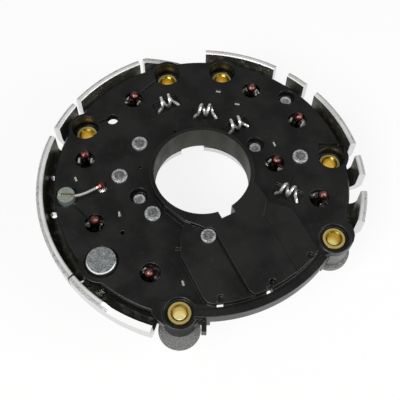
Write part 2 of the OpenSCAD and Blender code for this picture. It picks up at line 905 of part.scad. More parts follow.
// Tube along a line of points with a radius at each point; across is never along the line
module swept_wire(pts, radii, across) {
    n = wire_sides;
    m = len(pts);
    rings = [
        for (i = [0 : m - 1])
            let (t = tangent(pts, i), u = unit(cross(t, across)), v = cross(t, u))
            for (k = [0 : n - 1])
                pts[i] + radii[i] * (cos(360 * k / n) * u + sin(360 * k / n) * v)
    ];
    sides = [
        for (i = [0 : m - 2])
            for (k = [0 : n - 1])
                [i * n + k, (i + 1) * n + k, (i + 1) * n + (k + 1) % n, i * n + (k + 1) % n]
    ];
    caps = [[for (k = [0 : n - 1]) k], [for (k = [0 : n - 1]) m * n - 1 - k]];
    polyhedron(points = rings, faces = concat(sides, caps));
}

module stator_clip(i) {
    color([0.83, 0.83, 0.8])
        translate(clip_pos[i])
            rotate(clip_turn[i])
                swept_wire(clip_line, [for (p = clip_line) wire_d / 2], [1, 0, 0]);
}

// Fasteners and terminals

module bush(p, seat) {
    translate([p[0], p[1], 0])
        difference() {
            union() {
                cylinder(d = bush_tube_d, h = seat + eps);
                translate([0, 0, seat])
                    cylinder(d = bush_flange_d, h = flange_t - flange_bevel);
                translate([0, 0, seat + flange_t - flange_bevel])
                    cylinder(d1 = bush_flange_d, d2 = bush_flange_d - 2 * flange_bevel, h = flange_bevel);
            }
            translate([0, 0, -1])
                cylinder(d = bush_bore_d, h = tall);
            translate([0, 0, seat + flange_t - mouth_bevel])
                cylinder(d1 = bush_bore_d, d2 = bush_bore_d + 2 * mouth_bevel, h = mouth_bevel + eps);
        }
}

module positive_bushes() {
    color([0.83, 0.68, 0.25]) {
        for (p = positive_far)
            bush(p, z_far_seat);
        bush(positive_near, z_near_seat);
    }
}

module negative_bushes() {
    color([0.83, 0.68, 0.25]) {
        for (p = negative_far)
            bush(p, z_far_seat);
        bush(negative_near, z_near_seat);
    }
}

module insulating_bush(p, top) {
    translate([p[0], p[1], 0])
        difference() {
            union() {
                cylinder(d = washer_d, h = z_sink);
                cylinder(d = spigot_d, h = top);
            }
            translate([0, 0, -1])
                cylinder(d = bush_tube_d + 2 * clear, h = tall);
        }
}

module insulating_bushes() {
    color([0.3, 0.22, 0.16]) {
        for (p = positive_far)
            insulating_bush(p, z_floor);
        insulating_bush(positive_near, z_left_ear);
    }
}

module rivet(p, seat, head_d) {
    translate([p[0], p[1], 0])
        difference() {
            union() {
                translate([0, 0, z_sink - rivet_tail_h])
                    cylinder(d = rivet_tail_d, h = rivet_tail_h);
                translate([0, 0, z_sink - eps])
                    cylinder(d = rivet_shank_d, h = seat - z_sink + 2 * eps);
                translate([0, 0, seat])
                    cylinder(d = head_d, h = rivet_head_h - rivet_bevel);
                translate([0, 0, seat + rivet_head_h - rivet_bevel])
                    cylinder(d1 = head_d, d2 = head_d - 2 * rivet_bevel, h = rivet_bevel);
            }
            translate([0, 0, seat + rivet_head_h - mark_depth])
                difference() {
                    cylinder(d = mark_d, h = 1);
                    cylinder(d = mark_d - 2 * mark_w, h = 1);
                }
        }
}

module all_flush_rivets() {
    color([0.66, 0.67, 0.68])
        for (p = flush_rivets)
            rivet(p, z_web, rivet_head_d);
}

module long_block_rivet() {
    color([0.66, 0.67, 0.68])
        rivet(block_rivet, z_side, block_head_d);
}

module all_sunk_rivets() {
    color([0.66, 0.67, 0.68])
        for (p = sunk_rivets)
            rivet(p, z_web - sunk_depth, sunk_head_d);
}

module output_bolt() {
    z_cap = z_web0 + bolt_head_h - bolt_cap_bevel;
    color([0.62, 0.64, 0.65])
        translate([bolt_pos[0], bolt_pos[1], 0]) {
            translate([0, 0, z_web0])
                rotate(bolt_turn)
                    cylinder(d = bolt_af / cos(30), h = bolt_hex_h, $fn = 6);
            translate([0, 0, z_web0 + eps])
                cylinder(d = bolt_cap_d, h = z_cap - z_web0 - eps);
            translate([0, 0, z_cap])
                cylinder(d1 = bolt_cap_d, d2 = bolt_cap_d - 2 * bolt_cap_bevel, h = bolt_cap_bevel);
            translate([0, 0, -insulator_len])
                cylinder(d = stud_d, h = insulator_len + z_web0 + eps);
            translate([0, 0, -insulator_len - run_out])
                cylinder(d = stud_d - stud_neck, h = run_out + eps);
            translate([0, 0, -stud_len + stud_tip])
                cylinder(d = stud_d, h = stud_len - stud_tip - insulator_len - run_out);
            translate([0, 0, -stud_len])
                cylinder(d1 = stud_d - 2 * stud_tip, d2 = stud_d, h = stud_tip);
        }
}

module output_insulator() {
    color([0.3, 0.22, 0.16])
        translate([bolt_pos[0], bolt_pos[1], 0])
            difference() {
                union() {
                    cylinder(d = insulator_d, h = z_sink);
                    translate([0, 0, -insulator_len])
                        cylinder(d = insulator_sleeve_d, h = insulator_len + eps);
                }
                translate([0, 0, -insulator_len - 1])
                    cylinder(d = stud_d + 2 * clear, h = tall);
            }
}

module signal_post() {
    color([0.68, 0.7, 0.62])
        translate([post_pos[0], post_pos[1], 0])
            difference() {
                union() {
                    cylinder(d = post_d, h = z_post_seat + eps);
                    translate([0, 0, -run_out - eps])
                        cylinder(d = post_d - post_neck, h = run_out + 2 * eps);
                    translate([0, 0, -post_len + post_tip])
                        cylinder(d = post_d, h = post_len - post_tip - run_out);
                    translate([0, 0, -post_len])
                        cylinder(d1 = post_d - 2 * post_tip, d2 = post_d, h = post_tip);
                    translate([0, 0, z_post_seat])
                        cylinder(d = post_head_d, h = post_head_h);
                }
                translate([-post_head_d, -lead_wire_d / 2 - clear, z_post_slot])
                    cube([2 * post_head_d, lead_wire_d + 2 * clear, tall]);
            }
}

// Lead wire that swells into a ball at its welded end
wire_run = [for (p = spots(wire_plan)) concat(p, [z_wire])];
wire_tip = concat(signal_tab, [z_wire]);
wire_dir = unit(wire_tip - wire_run[len(wire_run) - 1]);
ball_turns = [35 : 18 : 161];
signal_line = concat(
    wire_run,
    [for (a = ball_turns) wire_tip - signal_ball_d / 2 * cos(a) * wire_dir]
);
signal_radii = concat(
    [for (p = wire_run) lead_wire_d / 2],
    [for (a = ball_turns) signal_ball_d / 2 * sin(a)]
);

module signal_wire() {
    color([0.8, 0.76, 0.7])
        swept_wire(signal_line, signal_radii, [0, 0, 1]);
}

// Every sub-part is drawn from the seating plane up and moved to the shared origin
module placed() {
    translate([0, 0, -z_origin])
        children();
}

placed() terminal_plate();
placed() positive_heat_sink();
placed() negative_heat_sink();
for (i = [0 : 3]) {
    placed() positive_diode(i);
    placed() negative_diode(i);
    placed() stator_clip(i);
}
for (i = [0 : 2])
    placed() conductor(i);
placed() conductor(3);  // neutral_conductor
placed() positive_bushes();
placed() negative_bushes();
placed() insulating_bushes();
placed() all_flush_rivets();  // flush_rivets
placed() long_block_rivet();  // block_rivet
placed() all_sunk_rivets();  // sunk_rivets
placed() output_bolt();
placed() output_insulator();
placed() signal_post();
placed() signal_wire();
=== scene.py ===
# %% [markdown]
# # Alternator rectifier: looks over a fixed frame
# A rectifier plate turns the alternator's three phases into direct current. Its shapes come from
# the packed part and are never moved or reshaped here. This lesson gives each piece the finish it
# has on a real rectifier, cuts two threads, and sets up the light and the camera of the photo.
# Every finish is a formula over the place on the piece, so nothing has to be unwrapped.

import json
import math

import bmesh
import bpy
from mathutils import Matrix, Vector


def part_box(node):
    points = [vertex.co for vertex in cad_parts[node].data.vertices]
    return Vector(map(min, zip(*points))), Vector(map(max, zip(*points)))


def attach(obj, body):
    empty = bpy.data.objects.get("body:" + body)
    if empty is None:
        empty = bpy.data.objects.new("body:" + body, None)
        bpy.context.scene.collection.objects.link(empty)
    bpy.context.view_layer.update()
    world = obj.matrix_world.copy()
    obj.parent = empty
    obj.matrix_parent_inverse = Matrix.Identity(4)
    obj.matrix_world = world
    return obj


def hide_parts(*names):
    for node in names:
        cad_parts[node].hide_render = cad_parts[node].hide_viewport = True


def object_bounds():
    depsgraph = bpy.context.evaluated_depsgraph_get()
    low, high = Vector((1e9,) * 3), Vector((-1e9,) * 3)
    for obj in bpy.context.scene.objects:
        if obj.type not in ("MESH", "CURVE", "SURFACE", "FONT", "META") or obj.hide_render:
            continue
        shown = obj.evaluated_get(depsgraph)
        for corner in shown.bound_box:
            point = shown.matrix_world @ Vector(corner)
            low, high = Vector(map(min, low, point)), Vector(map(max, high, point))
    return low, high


MM_PER_M = 1000

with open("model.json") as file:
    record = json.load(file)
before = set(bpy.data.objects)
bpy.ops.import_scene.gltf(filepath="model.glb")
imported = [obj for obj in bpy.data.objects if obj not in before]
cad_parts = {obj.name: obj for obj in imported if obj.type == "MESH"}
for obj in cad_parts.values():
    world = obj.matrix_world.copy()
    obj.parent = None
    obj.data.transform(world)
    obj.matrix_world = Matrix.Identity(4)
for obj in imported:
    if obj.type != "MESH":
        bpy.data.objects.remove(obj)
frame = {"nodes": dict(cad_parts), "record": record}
low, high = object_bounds()
pieces = frame["nodes"]
mounts = {row["name"]: row for row in frame["record"]["mounts"]}
slots = {row["node"]: row["material_slot"] for row in frame["record"]["subparts"]}
print("pieces", len(pieces), "size in mm", [round(MM_PER_M * v, 1) for v in high - low])

# %% [markdown]
# ## Arithmetic on shader sockets
# A finish is a formula, and Blender holds formulas as node trees. Nodes could be made and linked
# one by one, but the formula would get lost among the links. One small class wraps a socket instead
# and turns each operator into a Math node. Both `0.4 + grain` and `grain + 0.4` work.

# %% The socket class
class Flow:
    def __init__(self, tree, socket):
        self.tree = tree
        self.socket = socket

    def node(self, kind, settings=None, inputs=None, output=0):
        made = self.tree.nodes.new("ShaderNode" + kind)
        for name, value in (settings or {}).items():
            setattr(made, name, value)
        for key, value in (inputs or {}).items():
            if isinstance(value, Flow):
                self.tree.links.new(value.socket, made.inputs[key])
            else:
                made.inputs[key].default_value = value
        return Flow(self.tree, made.outputs[output])

    def math(self, operation, first, second):
        return self.node("Math", {"operation": operation}, {0: first, 1: second})

    def __add__(self, other):
        return self.math("ADD", self, other)

    def __radd__(self, other):
        return self.math("ADD", other, self)

    def __sub__(self, other):
        return self.math("SUBTRACT", self, other)

    def __rsub__(self, other):
        return self.math("SUBTRACT", other, self)

    def __mul__(self, other):
        return self.math("MULTIPLY", self, other)

    def __rmul__(self, other):
        return self.math("MULTIPLY", other, self)


print("reflected operators", [name for name in vars(Flow) if name.startswith("__r")])

# %% [markdown]
# ## Mixing colours and fading masks
# On a real surface one look passes into the next: bright metal into dull, straw yellow into olive.
# A Color Ramp could hold each passage, but its stops hide the numbers. Here `fade` turns any value
# into a soft mask from 0 to 1 and `blend` mixes two colours by it, so each line of a finish reads
# like a sentence.

# %% Mixing
MIX_FACTOR, MIX_FIRST, MIX_SECOND, MIX_COLOUR = 0, 6, 7, 2


def colour(r, g, b):
    return (r, g, b, 1.0)


def blend(factor, first, second):
    sides = {MIX_FACTOR: factor, MIX_FIRST: first, MIX_SECOND: second}
    return factor.node("Mix", {"data_type": "RGBA"}, sides, output=MIX_COLOUR)


def fade(value, start, end, low_to=0.0, high_to=1.0):
    limits = {"Value": value, "From Min": start, "From Max": end, "To Min": low_to, "To Max": high_to}
    return value.node("MapRange", {"interpolation_type": "SMOOTHSTEP"}, limits)


print("mixing helpers", [helper.__name__ for helper in (colour, blend, fade)])

# %% [markdown]
# ## Grain and direction
# Moulds, rolling mills and hands leave grain and patches. A picture of them would need unwrapping
# and would repeat. Noise over the place in millimetres does neither, and a stretch draws it out
# into lines. Rubbing also depends on where a face lies and which way it looks, so two helpers read
# one coordinate of a vector.

# %% Grain and direction
def noise(place, per_mm, detail=3.0, stretch=(1.0, 1.0, 1.0)):
    spread = place.node("VectorMath", {"operation": "MULTIPLY"}, {0: place, 1: stretch})
    return place.node("TexNoise", {}, {"Vector": spread, "Scale": per_mm, "Detail": detail})


def along(place, axis):
    return place.node("SeparateXYZ", {}, {0: place}, output=axis)


def facing(place, axis):
    return along(place.node("NewGeometry", output="Normal"), axis)


print("grain helpers", [helper.__name__ for helper in (noise, along, facing)])

# %% [markdown]
# ## From a recipe to a material
# Each finish below is a recipe: a function that takes the place on the piece and gives the values
# of a Principled shader. Generated coordinates would stretch with every piece, so the place comes
# from the Object coordinate, in millimetres. What changes over the surface is linked. What stays
# the same is set on the shader's own socket, where an export finds it.

# %% Finish builder
def finish(name, recipe):
    material = bpy.data.materials.new(name)
    material.use_nodes = True
    tree = material.node_tree
    shader = tree.nodes["Principled BSDF"]
    metres = Flow(tree, shader.outputs[0]).node("TexCoord", output="Object")
    place = metres.node("VectorMath", {"operation": "SCALE"}, {0: metres, "Scale": MM_PER_M})
    for socket, value in recipe(place).items():
        if isinstance(value, Flow):
            tree.links.new(value.socket, shader.inputs[socket])
        else:
            shader.inputs[socket].default_value = value
    print("finish", name, "with", len(tree.nodes), "nodes")
    return material


print("finish builder scales metres by", MM_PER_M)

# %% [markdown]
# ## Edges, relief and the bore axis
# No moulded edge is sharp: a small radius catches the light there and is rubbed first. Rounding it
# in the mesh would change the packed shape. The Bevel node only bends the normal near an edge, and
# where the bent normal leaves the true one there is an edge, which is painted lighter: partly wear
# and partly a painted highlight. Fine relief is a Bump, and the distance from the bore axis tells
# the bore wall and the rims from the rest.

# %% Edges, relief and axis
BEVEL_SAMPLES = 8
SAME_WAY, BENT_AWAY = 0.99, 0.8


def rounded(place, radius_mm):
    return place.node("Bevel", {"samples": BEVEL_SAMPLES}, {"Radius": radius_mm / MM_PER_M})


def edges(place, radius_mm):
    normals = {0: rounded(place, radius_mm), 1: place.node("NewGeometry", output="Normal")}
    same = place.node("VectorMath", {"operation": "DOT_PRODUCT"}, normals, output="Value")
    return fade(same, BENT_AWAY, SAME_WAY, 1.0, 0.0)


def bumps(height, strength, depth_mm, normal=None):
    inputs = {"Strength": strength, "Distance": depth_mm / MM_PER_M, "Height": height}
    if normal:
        inputs["Normal"] = normal
    return height.node("Bump", {}, inputs)


def flattened(place):
    return place.node("VectorMath", {"operation": "MULTIPLY"}, {0: place, 1: (1.0, 1.0, 0.0)})


def from_axis(place):
    return place.node("VectorMath", {"operation": "LENGTH"}, {0: flattened(place)}, output="Value")


print("edge helpers", [helper.__name__ for helper in (rounded, edges, bumps, from_axis)])

# %% [markdown]
# ## The moulded plate
# The terminal plate is black thermoplastic with short glass fibre. A moulding is satin: the steel
# mould leaves a fine grain, and flow and handling leave broad patches that shine a little more or
# less. Raised edges are painted greyer than the edges of holes, partly as wear and partly as a
# painted highlight, and a thin olive film dulls the bore wall. One flat black would look like a
# hole in the picture, so most of the finish lies in the roughness and in the lighter edges.

# %% Moulding
WEB_TOP_MM = 0.5
BORE_WALL_MM = mounts["centre_bore"]["dims"]["r_mm"]
DEEP_BLACK, SOFT_BLACK = colour(0.003, 0.003, 0.0027), colour(0.009, 0.009, 0.0085)
OLIVE_FILM, HANDLED_GREY = colour(0.014, 0.015, 0.008), colour(0.022, 0.022, 0.02)
WORN_AND_HIGHLIT_GREY = colour(0.12, 0.12, 0.115)


def moulding(place):
    grain = noise(place, per_mm=3.0, detail=4.0)
    patches = fade(noise(place, per_mm=0.07, detail=4.0), 0.35, 0.65)
    wear = fade(noise(place, per_mm=0.5, detail=5.0), 0.56, 0.78)
    streaks = fade(noise(place, per_mm=0.12, detail=5.0, stretch=(1.0, 1.0, 0.4)), 0.3, 0.7)
    bore = fade(from_axis(place), BORE_WALL_MM + 0.2, BORE_WALL_MM + 0.4, 1.0, 0.0)
    raised = fade(along(place, "Z"), WEB_TOP_MM + 0.1, WEB_TOP_MM + 0.5, 0.1, 0.42)
    filmed = blend(bore, blend(patches, DEEP_BLACK, SOFT_BLACK), OLIVE_FILM)
    handled = blend(wear * 0.4, filmed, HANDLED_GREY)
    return {
        # Edges are painted lighter: partly wear, partly a painted highlight.
        "Base Color": blend(edges(place, radius_mm=0.3) * (raised + 0.3 * wear), handled, WORN_AND_HIGHLIT_GREY),
        "Roughness": 0.26 + 0.10 * patches + 0.08 * grain + bore * (0.12 + 0.16 * streaks),
        "Normal": bumps(grain, strength=0.12, depth_mm=0.05, normal=rounded(place, radius_mm=0.5)),
    }


moulding_finish = finish("moulding", moulding)

# %% [markdown]
# ## Masks round points and axes
# Wear sits at places: round a screw, at one end of a rim, on the outer side of a dish. Vertex paint
# could mark them, but it would change the packed meshes. Distances do it from the place alone, and
# the places come from the frame: a mount of the record gives the axis of its bore or stud.

# %% Places
def mount_axis(name):
    return MM_PER_M * Vector(mounts[name]["pos_m"]).xy


def from_axes(place, axes_mm):
    nearest = None
    for x, y in axes_mm:
        ends = {0: flattened(place), 1: (x, y, 0.0)}
        away = place.node("VectorMath", {"operation": "DISTANCE"}, ends, output="Value")
        nearest = place.math("MINIMUM", nearest, away) if nearest else away
    return nearest


def near(place, point_mm, start, end):
    away = place.node("VectorMath", {"operation": "DISTANCE"}, {0: place, 1: point_mm}, output="Value")
    return fade(away, start, end, 1.0, 0.0)


def outward(place):
    spoke = place.node("VectorMath", {"operation": "NORMALIZE"}, {0: flattened(place)})
    sides = {0: place.node("NewGeometry", output="Normal"), 1: spoke}
    return place.node("VectorMath", {"operation": "DOT_PRODUCT"}, sides, output="Value")


print("mount axes", {name: [round(v, 1) for v in mount_axis(name)] for name in mounts})

# %% [markdown]
# ## The sheared rim
# The heat sinks are punched from sheet, and every punched edge has two bands: a bright one that the
# punch wiped and a grey, pitted one where the metal tore. The grey outer band is also painted shade:
# it stands for the darker rounded outer edge of the rim top. The lowered end of the left rim was
# trimmed last and is bright all over. The bands could be modelled as a step, but it would be
# thinner than a pixel, so the distance from the axis parts them instead.

# %% Sheared rim
RIM_SPLIT_MM = 68.2
LOW_END_RADIUS_MM, LOW_END_ANGLE, LOW_END_Z_MM = 68.0, math.radians(247), -1.5
LOW_END_HALF_MM = 9.0
WIPED_DULL, WIPED_BRIGHT = colour(0.64, 0.64, 0.63), colour(0.84, 0.84, 0.83)
TRIMMED_BRIGHT = colour(0.90, 0.90, 0.89)
TORN_AND_SHADED_DARK, TORN_AND_SHADED_LIGHT = colour(0.36, 0.36, 0.35), colour(0.66, 0.66, 0.65)
TORN_SPECK = colour(0.16, 0.16, 0.155)

low_end_mm = (
    LOW_END_RADIUS_MM * math.cos(LOW_END_ANGLE),
    LOW_END_RADIUS_MM * math.sin(LOW_END_ANGLE),
    LOW_END_Z_MM,
)


def low_end(place):
    return near(place, low_end_mm, LOW_END_HALF_MM, LOW_END_HALF_MM + 0.6)


def sheared(place, trimmed, pits):
    soiled = fade(noise(place, per_mm=0.07), 0.35, 0.65)
    specks = fade(noise(place, per_mm=0.9), 0.55, 0.70)
    bright_band = blend(trimmed, blend(soiled, WIPED_DULL, WIPED_BRIGHT), TRIMMED_BRIGHT)
    dull = blend(specks, blend(pits, TORN_AND_SHADED_DARK, TORN_AND_SHADED_LIGHT), TORN_SPECK)
    # The outer band is painted darker: partly the torn band, partly painted shade of the rounded outer edge.
    torn_and_shaded = fade(from_axis(place), RIM_SPLIT_MM - 0.15, RIM_SPLIT_MM + 0.15) * (1.0 - trimmed)
    return blend(torn_and_shaded, bright_band, dull)


print("low end at mm", [round(v, 1) for v in low_end_mm])

# %% [markdown]
# ## Pressed aluminium dishes
# Rolling leaves faint lines on the sheet and the press leaves scuffs. The inner side of each dish
# and its floor near the rim are painted dark olive grey, a painted reflection of the black plate and
# a painted shade, and the two ears are thick and look cast. The three could be separate materials,
# but a dish is one piece of metal, so masks divide one finish.

# %% Sheet aluminium
RIM_IN_MM, BEND_TOP_MM = 64.0, -8.4
EAR_MM = 8.6
FRONT_EAR_SHIFT_MM = Vector((0.0, -4.0))
ROLLED_DARK, ROLLED_LIGHT = colour(0.60, 0.61, 0.61), colour(0.80, 0.81, 0.81)
SCUFFED = colour(0.86, 0.86, 0.86)
INNER_REFLECTION_DARK, INNER_REFLECTION_LIGHT = colour(0.15, 0.145, 0.12), colour(0.40, 0.38, 0.31)
CAST_DARK, CAST_LIGHT = colour(0.10, 0.10, 0.097), colour(0.33, 0.33, 0.325)

ears_mm = [mount_axis("positive_bush_3") + FRONT_EAR_SHIFT_MM, mount_axis("negative_bush_3")]


def sheet(place):
    height, radius, upward = along(place, "Z"), from_axis(place), facing(place, "Z")
    lines = noise(place, per_mm=1.2, detail=4.0, stretch=(0.25, 0.25, 4.0))
    scuffs = fade(noise(place, per_mm=0.35, detail=6.0), 0.5, 0.72)
    pits = fade(noise(place, per_mm=2.2, detail=6.0), 0.3, 0.75)
    at_rim = fade(radius, RIM_IN_MM, RIM_IN_MM + 1.0) * fade(height, BEND_TOP_MM, BEND_TOP_MM + 1.0)
    edge = at_rim * fade(upward, 0.3, 0.8)
    trimmed = low_end(place)
    inside = fade(place.math("MAXIMUM", 0.0 - outward(place), upward), 0.4, 0.6)
    # Painted reflection and shade: inward faces and the dish floor near the rim are painted dark.
    inner_reflection = fade(radius, RIM_IN_MM - 4.0, RIM_IN_MM - 2.0) * inside * (1.0 - edge)
    ears = fade(from_axes(place, ears_mm), EAR_MM, EAR_MM + 1.0, 1.0, 0.0)
    worn = blend(scuffs * 0.5, blend(lines, ROLLED_DARK, ROLLED_LIGHT), SCUFFED)
    dulled = blend(inner_reflection, worn, blend(scuffs, INNER_REFLECTION_DARK, INNER_REFLECTION_LIGHT))
    edged = blend(edge, dulled, sheared(place, trimmed, pits))
    return {
        "Base Color": blend(ears, edged, blend(pits, CAST_DARK, CAST_LIGHT)),
        "Metallic": 1.0 - 0.65 * edge - 0.3 * edge * trimmed - 0.5 * ears - 0.2 * inner_reflection,
        "Roughness": 0.20 + 0.14 * lines + 0.10 * scuffs + 0.2 * edge + 0.12 * inner_reflection + 0.2 * ears,
        "Normal": bumps(lines + pits * ears, strength=0.15, depth_mm=0.05),
    }


sheet_finish = finish("sheet", sheet)

# %% [markdown]
# ## Press-fit diodes
# Each diode is a plated cup, a dark sealing ring and a copper lead whose end the welder melted to a
# ball. The top of the ball is painted paler as a painted highlight, and the lead below it is painted
# near black as painted shade. The packed diode is one solid, so the height divides it instead of
# three materials.

# %% Diode
CUP_TOP_MM, SEAL_TOP_MM, BALL_MM = -8.2, -7.2, 1.5
BORDER_MM = 0.05
CUP_DARK, CUP_LIGHT = colour(0.45, 0.44, 0.42), colour(0.62, 0.60, 0.57)
SEAL_BROWN = colour(0.03, 0.022, 0.018)
BURNT_COPPER, COPPER_HIGHLIGHT = colour(0.075, 0.020, 0.017), colour(0.38, 0.18, 0.16)
SHADE_BELOW_BALL = colour(0.012, 0.006, 0.005)


def diode(place):
    height = along(place, "Z")
    heat = noise(place, per_mm=0.7)
    in_seal = fade(height, CUP_TOP_MM - BORDER_MM, CUP_TOP_MM + BORDER_MM)
    in_lead = fade(height, SEAL_TOP_MM - BORDER_MM, SEAL_TOP_MM + BORDER_MM)
    # Painted highlight: the up-facing top of the ball is painted paler.
    painted_highlight = fade(facing(place, "Z"), 0.4, 0.95) * fade(heat, 0.36, 0.60)
    # Painted shade: the lead below the ball is painted near black.
    darkened = fade(height, BALL_MM - 1.6, BALL_MM - 0.6, 1.0, 0.0)
    cup = blend(noise(place, per_mm=0.9, detail=4.0), CUP_DARK, CUP_LIGHT)
    copper = blend(darkened, blend(painted_highlight, BURNT_COPPER, COPPER_HIGHLIGHT), SHADE_BELOW_BALL)
    return {
        "Base Color": blend(in_lead, blend(in_seal, cup, SEAL_BROWN), copper),
        "Metallic": 1.0 - in_seal + in_lead,
        "Roughness": 0.32 + 0.2 * heat,
        "Normal": bumps(heat, strength=0.5, depth_mm=0.6),
    }


diode_finish = finish("diode", diode)

# %% [markdown]
# ## Tinned strips
# The conductors are stamped from tinned copper strip. Tin is bright when new and hazes with age,
# and the forks are darker in noisy patches round each diode. The patches could be painted on each
# fork, but the middles of the diodes give all eight welds, and noise breaks them up.

# %% Strip
FORK_REACH_MM = 4.6
HAZED_TIN, BRIGHT_TIN = colour(0.68, 0.68, 0.64), colour(0.88, 0.88, 0.84)
DARK_PATCH_TIN = colour(0.05, 0.045, 0.04)

diodes_mm = [MM_PER_M * (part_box(name)[0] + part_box(name)[1]).xy / 2 for name in pieces if "diode" in name]


def tin_strip(place):
    haze = noise(place, per_mm=0.4, detail=4.0)
    fork = fade(from_axes(place, diodes_mm), FORK_REACH_MM - 0.3, FORK_REACH_MM, 1.0, 0.0)
    # The forks are darker in noisy patches round each diode.
    darkened = fork * fade(noise(place, per_mm=0.35), 0.44, 0.56, 1.0, 0.0)
    return {
        "Base Color": blend(darkened, blend(haze, HAZED_TIN, BRIGHT_TIN), DARK_PATCH_TIN),
        "Metallic": 0.7,
        "Roughness": 0.22 + 0.2 * haze,
    }


strip_finish = finish("strip", tin_strip)

# %% [markdown]
# ## Tinned wire
# The stator clips and the signal lead are tinned copper wire. Its upper side is painted bright as a
# painted highlight and its lower side dark as painted shade. One end of the lead is a copper weld
# ball, and the other lies under tan flux in the slot of the post. Both ends belong to the wire's own
# piece, so two points mark them.

# %% Wire
SIGNAL_BALL_MM = (-41.7, -5.9, 2.0)
POST_SLOT_Z_MM = 2.0
SHADED_WIRE, HIGHLIT_WIRE = colour(0.20, 0.20, 0.18), colour(0.98, 0.98, 0.94)
TAN_FLUX, WELD_COPPER = colour(0.26, 0.20, 0.13), colour(0.24, 0.065, 0.055)

post_slot_mm = (*mount_axis("signal_stud"), POST_SLOT_Z_MM)


def tin_wire(place):
    streaks = noise(place, per_mm=1.6, detail=4.0)
    welded = near(place, SIGNAL_BALL_MM, 1.7, 2.4)
    soldered = near(place, post_slot_mm, 3.4, 4.0)
    # Painted highlight and shade: faces turned up are painted bright, faces turned down dark.
    painted_highlight = fade(facing(place, "Z"), 0.1, 0.8) * (0.6 + 0.4 * streaks)
    tin = blend(soldered, blend(painted_highlight, SHADED_WIRE, HIGHLIT_WIRE), TAN_FLUX)
    return {
        "Base Color": blend(welded, tin, WELD_COPPER),
        "Metallic": 0.6 + 0.3 * welded,
        "Roughness": 0.10 + 0.12 * streaks,
        "Normal": bumps(streaks, strength=0.3, depth_mm=0.12),
    }


clip_finish = finish("clip", tin_wire)

# %% [markdown]
# ## Yellow bushes
# The bushes are turned steel with yellow passivated zinc. The film is so thin that it drifts from
# straw to olive within a few millimetres. The flange is worn paler than the mouth, and deep in the
# front bores the film is thinner still. All six share one finish, since the distance from the
# nearest bore axis tells flange from bore.

# %% Yellow zinc
BORE_MM, MOUTH_MM, RING_MM = 2.75, 3.5, 4.4
FRONT_Y_MM = -20.0
DEEP_Z_MM, SHALLOW_Z_MM = -8.0, -3.0
FILM_OLIVE, FILM_STRAW = colour(0.38, 0.26, 0.03), colour(0.52, 0.40, 0.08)
WORN_OLIVE, WORN_STRAW = colour(0.50, 0.37, 0.10), colour(0.68, 0.57, 0.22)
BORE_GOLD, BORE_PALE = colour(0.70, 0.46, 0.05), colour(0.80, 0.68, 0.20)

bushes_mm = [mount_axis(name) for name in mounts if "bush" in name]


def yellow_zinc(place):
    drift = noise(place, per_mm=0.35)
    turning = fade(noise(place, per_mm=1.0, detail=2.0, stretch=(0.1, 0.1, 1.6)), 0.35, 0.65)
    radius = from_axes(place, bushes_mm)
    flange = fade(radius, MOUTH_MM - 0.15, MOUTH_MM + 0.15) * fade(radius, RING_MM, RING_MM + 0.2, 1.0, 0.1)
    bore = fade(radius, BORE_MM, BORE_MM + 0.1, 1.0, 0.0)
    front = fade(along(place, "Y"), FRONT_Y_MM - 2.0, FRONT_Y_MM, 1.0, 0.0)
    deep = front * fade(along(place, "Z"), DEEP_Z_MM, SHALLOW_Z_MM, 1.0, 0.0)
    film = blend(drift, FILM_OLIVE, FILM_STRAW)
    outside = blend(flange, film, blend(drift, WORN_OLIVE, WORN_STRAW))
    inside = blend(turning * 0.35, blend(deep, BORE_GOLD, BORE_PALE), film)
    return {
        "Base Color": blend(bore, outside, inside),
        "Metallic": 1.0 - 0.5 * flange,
        "Roughness": 0.24 + 0.12 * turning,
        "Normal": bumps(turning, strength=0.1, depth_mm=0.05),
    }


bush_finish = finish("bush", yellow_zinc)

# %% [markdown]
# ## Rivets
# Each aluminium rivet head has a dull middle, and its rim is painted lighter as a painted highlight.
# A node holds several rivets, so their axes are read from its mesh: points within reach of each other
# are one rivet, and the middle of their box is its axis. Typed coordinates would do too, but would go
# stale when the part is packed anew.

# %% Rivet axes
RIVET_REACH_MM = 8.0


def middle(spots):
    xs, ys = zip(*spots)
    return (min(xs) + max(xs)) / 2, (min(ys) + max(ys)) / 2


def solid_axes(node):
    groups = []
    for vertex in pieces[node].data.vertices:
        spot = MM_PER_M * vertex.co.xy
        group = next((g for g in groups if (g[0] - spot).length < RIVET_REACH_MM), None)
        if group is None:
            group = []
            groups.append(group)
        group.append(spot)
    return [middle(group) for group in groups]


rivets_mm = solid_axes("flush_rivets") + solid_axes("block_rivet")
sunk_rivets_mm = solid_axes("sunk_rivets")
print("rivet axes", [tuple(round(v, 1) for v in axis) for axis in rivets_mm + sunk_rivets_mm])

# %% Rivet heads
HEAD_RIM_MM, SUNK_RIM_MM = 2.3, 1.6
HEAD_METALLIC, SUNK_METALLIC = 0.9, 0.4
STRUCK_DARK, STRUCK_LIGHT = colour(0.16, 0.165, 0.165), colour(0.44, 0.45, 0.455)
RIM_HIGHLIGHT_DARK, RIM_HIGHLIGHT_LIGHT = colour(0.24, 0.245, 0.245), colour(0.62, 0.63, 0.63)


def riveted(place, axes_mm, rim_mm, metallic):
    marks = fade(noise(place, per_mm=1.4, detail=6.0), 0.3, 0.7)
    # Painted highlight: the rim of each head is painted lighter and less metallic.
    rim = fade(from_axes(place, axes_mm), rim_mm - 0.4, rim_mm + 0.1)
    struck = blend(marks, STRUCK_DARK, STRUCK_LIGHT)
    bright_band = blend(marks, RIM_HIGHLIGHT_DARK, RIM_HIGHLIGHT_LIGHT)
    return {
        "Base Color": blend(rim, struck, bright_band),
        "Metallic": metallic - 0.4 * rim,
        "Roughness": 0.36 + 0.18 * marks,
        "Normal": bumps(marks, strength=0.3, depth_mm=0.1),
    }


